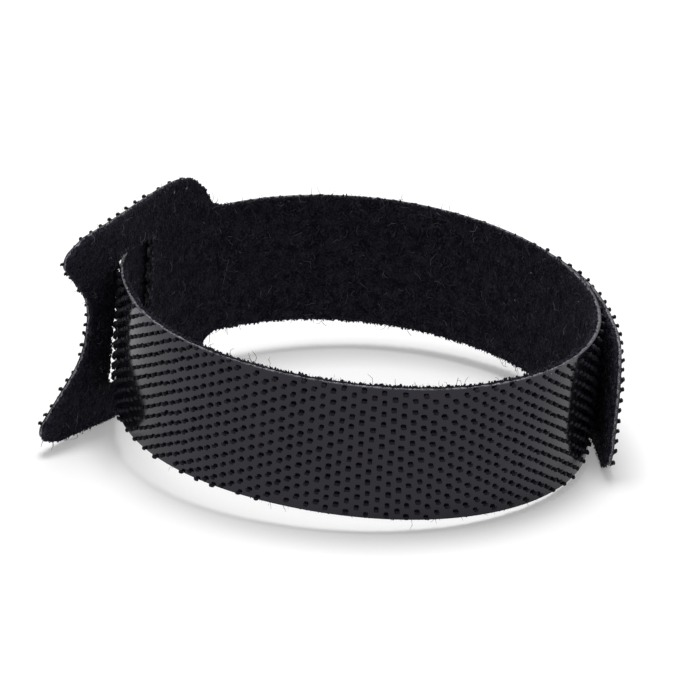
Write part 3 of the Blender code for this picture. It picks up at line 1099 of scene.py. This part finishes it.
class TIE_OT_pile(bpy.types.Operator):
    """Grow the brushed pile on the inside of the strap"""

    bl_idname = "tie.pile"
    bl_label = "Pile"

    def execute(self, context):
        pile = context.scene.tie_pile
        material = fibre_material(context.scene.tie_colours)
        turn = SLOT_END + PILE_PAST_SLOT
        covered = turn + PILE_INSIDE
        tail = ROUTE.length - TAIL_LENGTH - PILE_BEFORE_TAIL
        stretches = (("head", 0.0, turn), ("inside", turn, covered), ("tail", tail, ROUTE.length))
        kinds = (
            ("pile_loops_", 1, pile.loops_per_mm2, pile.loop_height, LOOPS),
            ("pile_nap_", 4, pile.nap_per_mm2, pile.nap_height, NAP),
        )
        for start, seed, per_mm2, height, kind in kinds:
            for i, (name, low, high) in enumerate(stretches):
                name = start + name
                pile_piece(name, pile, material, low, high, seed + i, per_mm2, height, kind)
        for seed, (name, low, high) in enumerate(stretches):
            rng = np.random.default_rng(pile.seed + 40 + seed)
            places = scattered(rng, low, high, pile.tufts_per_mm2, TUFT_MARGIN)
            depth = -STRAP_THICKNESS / 2 - rng.uniform(-TUFT_IN, TUFT_OUT, len(places))
            places = np.column_stack([places, depth])
            tufts_piece("pile_tufts_" + name, pile, material, places, 50 + seed)
        rng = np.random.default_rng(pile.seed + 60)
        tufts_piece("pile_tufts_rim", pile, material, rim_places(rng), 61)
        # The slot's wall tufts are painted paler: painted light that lifts the unlit wall and paints a
        # lit arc along its top.
        tufts_piece("pile_tufts_slot_painted_light", pile, material, wall_places(rng), 62, WALL_PAINTED_LIGHT)
        return {"FINISHED"}


class TIE_OT_fringe(bpy.types.Operator):
    """Grow the fibres that stick out past the strap's cut edges"""

    bl_idname = "tie.fringe"
    bl_label = "Fringe"

    def execute(self, context):
        pile = context.scene.tie_pile
        material = fibre_material(context.scene.tie_colours)
        edges = (
            ("fringe_outline", STRAP_OUTLINE, 1, 1.0),
            ("fringe_slot", SLOT_OUTLINE, -1, SLOT_FRINGE),
        )
        for seed, (name, outline, way, longer) in enumerate(edges):
            rng = np.random.default_rng(pile.seed + 20 + seed)
            points, outward = walked(outline, MM / pile.fringe_per_mm / longer)
            count = len(points)
            points = points - way * outward * rng.uniform(0.0, FRINGE_INSET, count)[:, None]
            depth = -STRAP_THICKNESS / 2 + rng.uniform(0.0, FRINGE_DEPTH, count)
            roots = np.column_stack([points, depth])
            lean = rng.normal(0.0, FRINGE_LEAN, count)
            turned = way * rotated(outward, lean)
            lengths = longer * pile.fringe_length * rng.uniform(0.1, 1.1, count) ** 1.5
            heights = pile.nap_height * rng.uniform(-0.3, 0.9, count)
            paths = fibre_paths(rng, roots, turned, lengths, heights, np.ones(count), 3)
            fibre_piece(name, rng, paths, pile.fibre_radius, 1.8, material)
        return {"FINISHED"}


class TIE_OT_lint(bpy.types.Operator):
    """Scatter the specks of lint that the tie has caught"""

    bl_idname = "tie.lint"
    bl_label = "Lint"

    def execute(self, context):
        material = lint_material(context.scene.tie_colours)
        rng = np.random.default_rng(LINT_SEED)
        roots = np.array(LINT_PLACES) * MM
        count = len(roots)
        lengths = rng.uniform(LINT_SHORTEST, LINT_LONGEST, count)
        heights = np.where(roots[:, 2] > 0, -0.04 * MM, 0.06 * MM)
        paths = fibre_paths(rng, roots, ways(rng, count), lengths, heights, np.zeros(count), 5)
        fibre_piece("lint_specks", rng, paths, LINT_RADIUS, 1.0, material)
        return {"FINISHED"}


class TIE_OT_studio(bpy.types.Operator):
    """Set up the pale floor, the soft light and the camera"""

    bl_idname = "tie.studio"
    bl_label = "Studio"

    def execute(self, context):
        studio = context.scene.tie_studio
        bpy.ops.object.select_all(action="DESELECT")
        bpy.ops.mesh.primitive_plane_add(size=4.0, location=(0, 0, 0))
        floor = context.object
        floor.name = "studio_floor"
        material, nodes, links, shader = new_material("pale_floor", studio.floor, 0.9)
        shader.inputs["Specular IOR Level"].default_value = 0.0
        seen = self.seen(nodes, links)
        glow = nodes.new("ShaderNodeEmission")
        glow.inputs["Color"].default_value = (1, 1, 1, 1)
        strength = nodes.new("ShaderNodeMath")
        strength.operation = "MULTIPLY"
        strength.inputs[1].default_value = studio.floor_glow
        links.new(seen, strength.inputs[0])
        links.new(strength.outputs[0], glow.inputs["Strength"])
        both = nodes.new("ShaderNodeAddShader")
        links.new(shader.outputs[0], both.inputs[0])
        links.new(glow.outputs[0], both.inputs[1])
        links.new(both.outputs[0], nodes["Material Output"].inputs["Surface"])
        floor.data.materials.append(material)

        world = bpy.data.worlds.new("white_room")
        context.scene.world = world
        world.use_nodes = True
        nodes, links = world.node_tree.nodes, world.node_tree.links
        sky = nodes["Background"]
        sky.inputs["Color"].default_value = (1, 1, 1, 1)
        strength = nodes.new("ShaderNodeMapRange")
        strength.inputs["To Min"].default_value = studio.sky_strength
        strength.inputs["To Max"].default_value = 1.0
        links.new(self.seen(nodes, links), strength.inputs["Value"])
        links.new(strength.outputs["Result"], sky.inputs["Strength"])

        bpy.ops.object.light_add(type="AREA", location=(0, 0.05, 0.7))
        softbox = context.object
        softbox.name = "overhead_softbox"
        softbox.data.shape = "SQUARE"
        softbox.data.size = 0.3
        softbox.data.energy = studio.softbox_energy

        bpy.ops.object.camera_add(location=studio.camera_place)
        camera = context.object
        camera.data.lens = studio.focal_length
        camera.data.sensor_width = 36.0
        camera.data.clip_end = 10.0
        turn = Euler((math.pi / 2 - studio.camera_elevation, 0, -studio.camera_azimuth)).to_matrix()
        turn = turn @ Matrix.Rotation(studio.camera_roll, 3, "Z")
        camera.rotation_euler = turn.to_euler()
        context.scene.camera = camera
        context.scene.view_settings.view_transform = "Standard"
        return {"FINISHED"}

    @staticmethod
    def seen(nodes, links):
        """1 for what the camera sees, directly or in a reflection, and 0 for light."""
        path = nodes.new("ShaderNodeLightPath")
        total = path.outputs["Is Camera Ray"]
        for name in ("Is Glossy Ray", "Is Transmission Ray"):
            add = nodes.new("ShaderNodeMath")
            add.operation = "ADD"
            add.use_clamp = True
            links.new(total, add.inputs[0])
            links.new(path.outputs[name], add.inputs[1])
            total = add.outputs[0]
        return total


class TIE_PT_panel(bpy.types.Panel):
    """The pieces of the tie, in the order that they are made"""

    bl_idname = "TIE_PT_panel"
    bl_label = "Cable Tie"
    bl_space_type = "VIEW_3D"
    bl_region_type = "UI"
    bl_category = "Cable Tie"

    def draw(self, context):
        for operator in STEPS:
            self.layout.operator(operator.bl_idname)


STEPS = (TIE_OT_studio, TIE_OT_laminate, TIE_OT_hooks, TIE_OT_pile, TIE_OT_fringe, TIE_OT_lint)
SETTINGS = {
    "tie_hooks": TieHookSettings,
    "tie_pile": TiePileSettings,
    "tie_colours": TieColours,
    "tie_studio": TieStudioSettings,
}


def register():
    for settings in SETTINGS.values():
        bpy.utils.register_class(settings)
    for name, settings in SETTINGS.items():
        setattr(bpy.types.Scene, name, PointerProperty(type=settings))
    for operator in STEPS:
        bpy.utils.register_class(operator)
    bpy.utils.register_class(TIE_PT_panel)


def unregister():
    bpy.utils.unregister_class(TIE_PT_panel)
    for operator in reversed(STEPS):
        bpy.utils.unregister_class(operator)
    for name in SETTINGS:
        delattr(bpy.types.Scene, name)
    for settings in reversed(SETTINGS.values()):
        bpy.utils.unregister_class(settings)


def main():
    register()
    bpy.ops.tie.studio()
    bpy.ops.tie.laminate()
    bpy.ops.tie.hooks()
    bpy.ops.tie.pile()
    bpy.ops.tie.fringe()
    bpy.ops.tie.lint()


if __name__ == "__main__":
    main()
